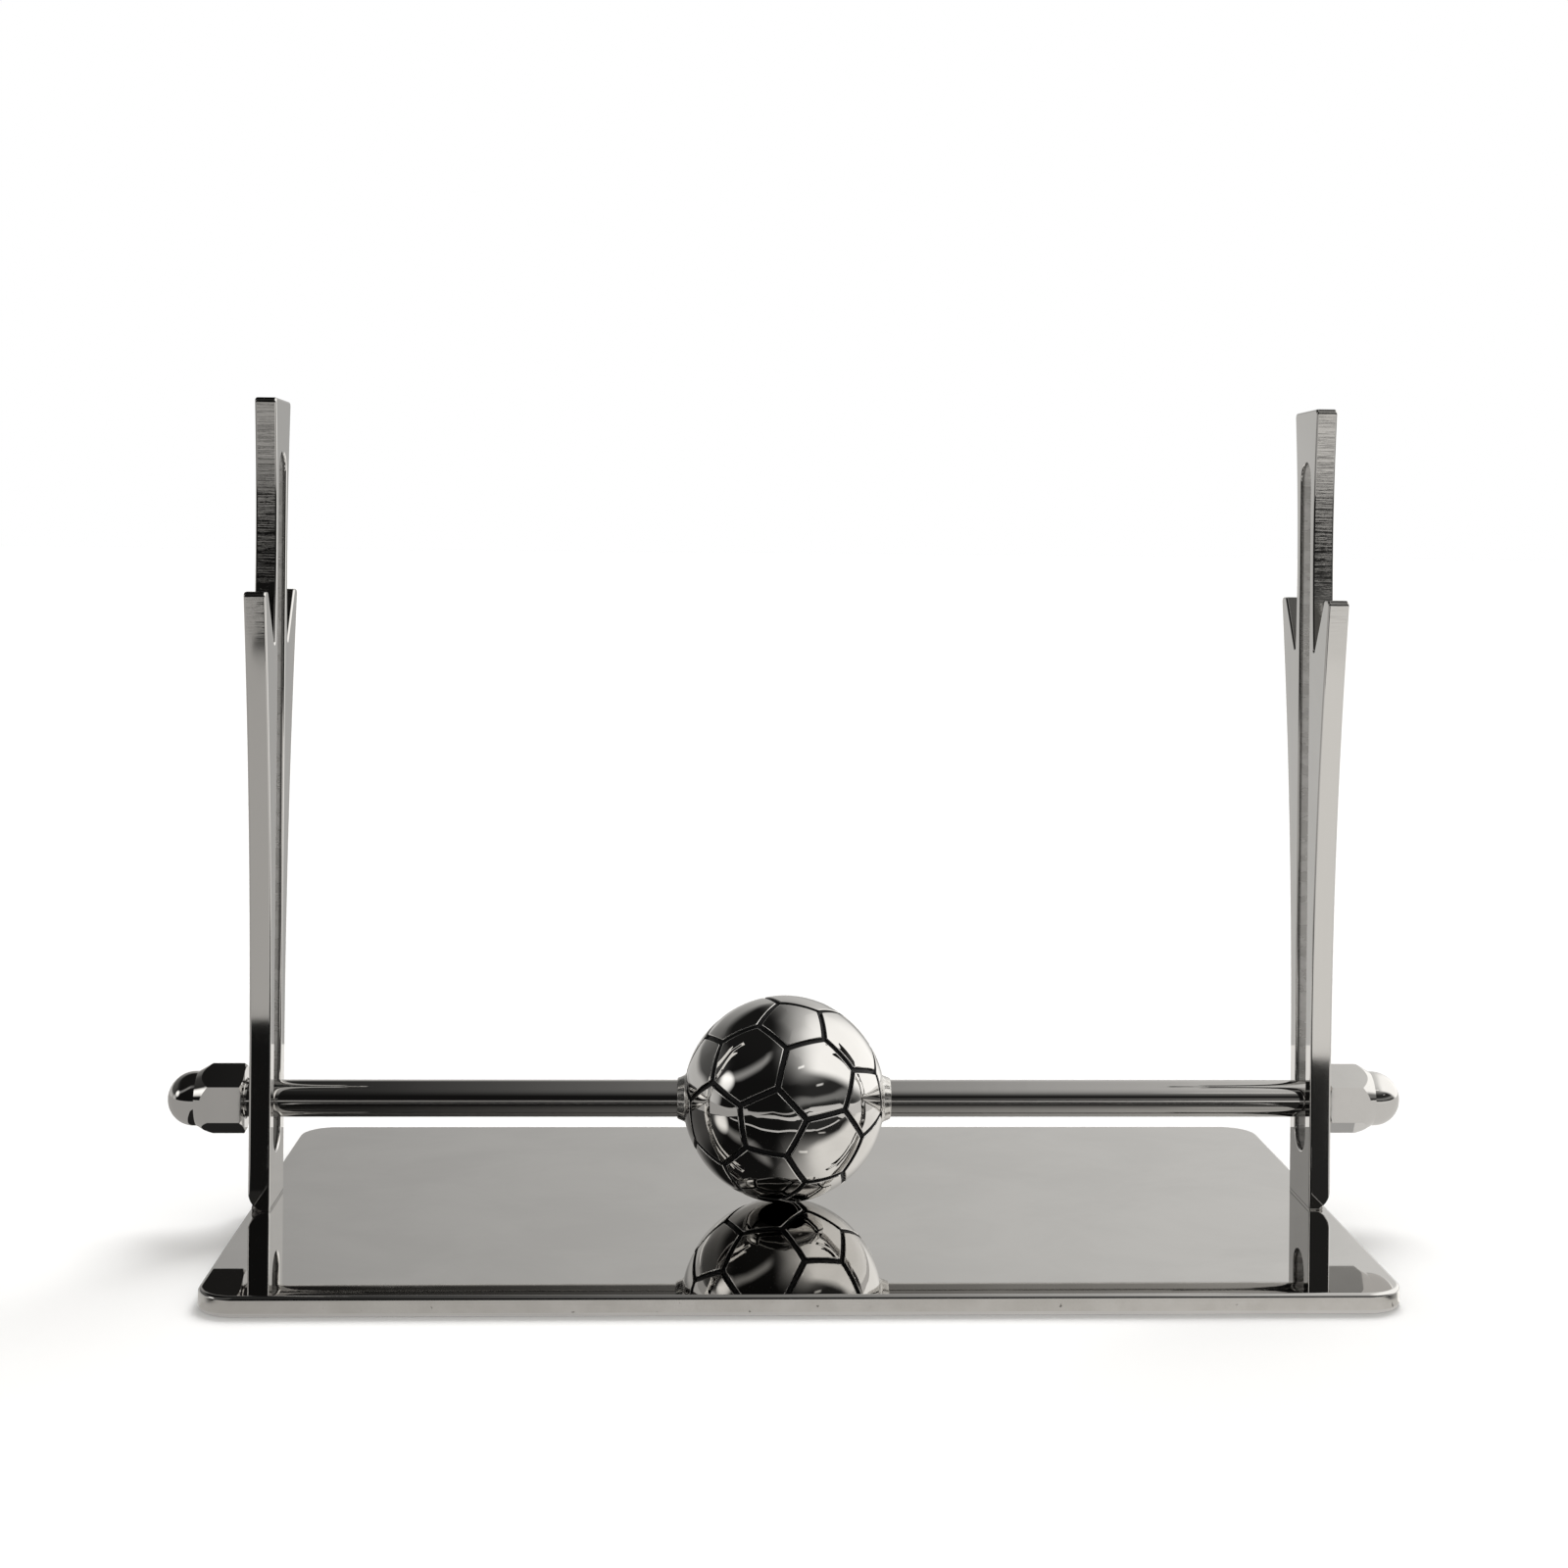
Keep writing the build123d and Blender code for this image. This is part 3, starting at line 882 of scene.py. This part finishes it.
def make_studio():
    """The room's levels by direction: x to the right, y to the back and z up. The
    camera sees plain white, and the floor an even fill."""
    white, fill, window_level = 1.0, 0.66, 1.35
    sky = Sky()
    behind = sky.ramp(sky.y, -0.25, 0.35, 0.0, 1.0)
    # Dark in front, a grey wall behind, dim overhead, brighter to the right.
    low_glow = sky.ramp(sky.x, 0.0, 0.3, 0.0, 0.2)
    glint = sky.maths("MULTIPLY", sky.band(sky.z, 0.06, 0.2, 0.05), low_glow)
    front = sky.maths("ADD", glint, sky.ramp(sky.x, -0.1, 0.5, 0.008, 0.03))
    high_wall = sky.ramp(sky.x, -0.95, 0.75, 0.09, 0.83)
    low_wall = sky.ramp(sky.x, -0.35, 0.35, 0.58, 0.42)
    wall = sky.mix(sky.ramp(sky.z, 0.06, 0.19, 0.0, 1.0), low_wall, high_wall)
    overhead = sky.ramp(sky.x, -0.21, 0.64, 0.012, 1.2)
    back = sky.mix(sky.ramp(sky.z, 0.42, 0.65, 0.0, 1.0), wall, overhead)
    ahead = sky.mix(sky.ramp(sky.z, 0.38, 0.98, 0.0, 1.0), front, overhead)
    room = sky.mix(behind, ahead, back)
    # A large soft window high on the right that reaches lower behind than in front.
    slant = sky.maths("ADD", sky.z, sky.maths("MULTIPLY", sky.y, 0.8))
    window = sky.maths(
        "MULTIPLY",
        sky.ramp(sky.x, 0.22, 0.60, 0.0, 1.0),
        sky.ramp(slant, 0.0, 0.24, 0.0, 1.0),
    )
    room = sky.mix(window, room, window_level)
    # A long dim strip light curving from the left up to overhead, and a lamp at its foot.
    arc = sky.band(sky.towards((-0.548, 0.174, 0.818)), 0.70, 0.78, 0.05)
    arc = sky.maths("MULTIPLY", arc, sky.ramp(sky.x, -0.12, -0.32, 0.0, 1.0))
    strip = sky.maths("MULTIPLY", arc, sky.ramp(sky.y, 0.05, -0.1, 0.0, 0.34))
    room = sky.maths("ADD", room, strip)
    lamp = sky.ramp(sky.towards((-0.93, -0.22, 0.30)), 0.978, 0.9995, 0.0, 1.3)
    room = sky.maths("ADD", room, lamp)
    side = sky.ramp(sky.towards((-0.99, -0.06, 0.04)), 0.980, 0.999, 0.0, 0.45)
    room = sky.maths("ADD", room, side)
    # Two thin panes that the ball's front shows.
    for left, right, low, high in ((0.20, 0.34, 0.705, 0.735), (0.57, 0.67, 0.385, 0.415)):
        across = sky.band(sky.x, left, right, 0.02)
        pane = sky.maths("MULTIPLY", across, sky.band(sky.z, low, high, 0.012))
        in_front = sky.ramp(sky.y, 0.0, -0.2, 0.0, 0.8)
        room = sky.maths("ADD", room, sky.maths("MULTIPLY", pane, in_front))
    paths = sky.nodes.new("ShaderNodeLightPath")
    level = sky.mix(paths.outputs["Is Diffuse Ray"], room, fill)
    warm = sky.nodes.new("ShaderNodeCombineColor")
    for socket, tint in zip(warm.inputs, (1.0, 0.985, 0.955)):
        metal = sky.maths("MULTIPLY", level, tint)
        sky.put(socket, sky.mix(paths.outputs["Is Camera Ray"], metal, white))
    glow = sky.nodes.new("ShaderNodeBackground")
    sky.tree.links.new(warm.outputs[0], glow.inputs["Color"])
    out = sky.nodes.new("ShaderNodeOutputWorld")
    sky.tree.links.new(glow.outputs[0], out.inputs["Surface"])


def make_card(name, outline, left_level, right_level):
    """A sheet on the table, in mm, that only the polished metal sees. Its level runs
    from left to right across the width of the object."""
    mesh = bpy.data.meshes.new(name)
    points = [(x * MM, y * MM, SHEET_Z) for x, y in outline]
    mesh.from_pydata(points, [], [tuple(range(len(points)))])
    card = bpy.data.objects.new(name, mesh)
    bpy.context.collection.objects.link(card)
    material = bpy.data.materials.new(name)
    material.use_nodes = True
    tree = material.node_tree
    tree.nodes.clear()
    place = tree.nodes.new("ShaderNodeTexCoord")
    split = tree.nodes.new("ShaderNodeSeparateXYZ")
    ramp = tree.nodes.new("ShaderNodeMapRange")
    glow = tree.nodes.new("ShaderNodeEmission")
    out = tree.nodes.new("ShaderNodeOutputMaterial")
    for socket, value in zip(ramp.inputs[1:5], (-0.12, 0.12, left_level, right_level)):
        socket.default_value = value
    glow.inputs["Color"].default_value = (1.0, 0.975, 0.94, 1.0)
    tree.links.new(place.outputs["Object"], split.inputs[0])
    tree.links.new(split.outputs["X"], ramp.inputs["Value"])
    tree.links.new(ramp.outputs["Result"], glow.inputs["Strength"])
    tree.links.new(glow.outputs[0], out.inputs["Surface"])
    mesh.materials.append(material)
    card.visible_camera = False
    card.visible_diffuse = False
    card.visible_shadow = False


def make_table_cards():
    """The pale table round the object, with a dark gap between the object and the
    sheets in front of it."""
    near, far, wide = -137, -222, 900
    left_level, right_level = 0.43, 0.72
    front = [(-wide, near), (0, near), (wide, near + 120), (wide, far), (-wide, far)]
    make_card("card_front", front, 0.46, 0.80)
    make_card("card_far", [(-wide, -450), (wide, -450), (wide, -1150), (-wide, -1150)], 0.30, 0.50)
    make_card("card_strip", [(-92, -45), (92, -45), (92, -61), (-92, -61)], 0.46, 0.75)
    make_card("card_back", [(-98, 45), (98, 45), (98, 137), (-98, 137)], 0.90, 0.90)
    # On the left the table close under the nut is in shadow; card_shadow is a dark sheet standing
    # in for that shade, painted shade that only the metal sees.
    left = [(-wide, 200), (-98, 200), (-98, 40), (-105, 40), (-105, -30), (-98, -45), (-115, near)]
    make_card("card_shadow", [(-105, -30), (-89, -30), (-89, 40), (-105, 40)], 0.02, 0.02)
    make_card("card_left", left + [(-wide, near)], left_level, left_level)
    right = [(98, 200), (wide, 200), (wide, near + 20), (119.6, near + 20), (99.9, -45)]
    make_card("card_right", right, right_level, right_level)
    beyond = [(130, far), (wide, far), (wide, -wide), (150, -wide)]
    for name, side, level in (
        ("card_corner_left", -1, left_level),
        ("card_corner_right", 1, right_level),
    ):
        make_card(name, [(side * x, y) for x, y in beyond], level, level)


def make_floor():
    """A pale floor out to the horizon; the metal sees the sheets instead."""
    half = 60.0
    corners = [(-half, -half), (half, -half), (half, half), (-half, half)]
    mesh = bpy.data.meshes.new("floor")
    mesh.from_pydata([(x, y, FLOOR_Z) for x, y in corners], [], [(0, 1, 2, 3)])
    floor = bpy.data.objects.new("floor", mesh)
    bpy.context.collection.objects.link(floor)
    material = bpy.data.materials.new("pale_floor")
    material.use_nodes = True
    shader = material.node_tree.nodes["Principled BSDF"]
    shader.inputs["Base Color"].default_value = (0.93, 0.93, 0.93, 1)
    shader.inputs["Roughness"].default_value = 0.9
    shader.inputs["Specular IOR Level"].default_value = 0.0
    mesh.materials.append(material)
    floor.visible_glossy = False


def make_sun(towards, power, softness):
    """A broad soft lamp, softness degrees across, that the metal doesn't show."""
    data = bpy.data.lights.new("key", "SUN")
    data.energy = power
    data.angle = math.radians(softness)
    lamp = bpy.data.objects.new("key", data)
    lamp.rotation_euler = (-Vector(towards)).to_track_quat("-Z", "Y").to_euler()
    lamp.visible_glossy = False
    bpy.context.collection.objects.link(lamp)


def make_object():
    """Each piece with the body it rides on, the node it stands for and its slot."""
    plate = polished_steel("plate_mirror", haze=0.02, lines=(30, 1400, 1400))
    rim = satin_edge("plate_rim")
    face = polished_steel("post_face", haze=0.03, lines=(900, 900, 50))
    edge = linished_edge("post_edge", (0.71, 0.70, 0.68), 0.03, 0.055)
    cut = raw_cut("slot_wall")
    bar = polished_steel("bar_steel", haze=0.05, lines=(35, 1300, 1300))
    panels = polished_steel("ball_panels", haze=0.03, lines=(300, 300, 300))
    grooves = patina("ball_grooves")
    nut = polished_steel("nut_steel", haze=0.05, lines=(1500, 300, 300))
    joint = solder("collar_solder", (0.52, 0.51, 0.49), (0.74, 0.73, 0.71), 0.08, 0.12)
    weld = solder("foot_weld", (0.10, 0.095, 0.09), (0.55, 0.53, 0.51), 0.30, 0.5)

    rows = [
        (make_base(plate, rim), "stand", "base_plate", "base_steel"),
        (make_post("left_end_post", -1, face, edge, cut), "stand", "left_post", "post_steel"),
        (make_post("right_end_post", 1, face, edge, cut), "stand", "right_post", "post_steel"),
        (
            make_weld("left_foot_weld", -1, 2.5, 0.75, weld),
            "stand", "left_post_weld", "weld_metal",
        ),
        (
            make_weld("right_foot_weld", 1, 2.05, 0.5, weld),
            "stand", "right_post_weld", "weld_metal",
        ),
        (make_rod(bar), "bar", "rod", "rod_steel"),
        (make_ball(panels, grooves), "ball_and_nuts", "ball", "ball_steel"),
        (make_collar("left_solder_ring", -1, joint), "ball_and_nuts", "left_collar", "solder"),
        (make_collar("right_solder_ring", 1, joint), "ball_and_nuts", "right_collar", "solder"),
        (
            make_nut("left_domed_nut", -1, left_nut_high.x / MM, nut),
            "ball_and_nuts", "left_cap_nut", "nut_steel",
        ),
        (
            make_nut("right_domed_nut", 1, right_nut_low.x / MM, nut),
            "ball_and_nuts", "right_cap_nut", "nut_steel",
        ),
    ]
    for piece, body, node, slot in rows:
        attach(piece, body)
        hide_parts(node)


make_camera()
make_studio()
make_table_cards()
make_floor()
make_sun(towards=(0.22, 0.85, 1.0), power=2.1, softness=34.0)
make_object()
bpy.context.scene.view_settings.view_transform = "Standard"
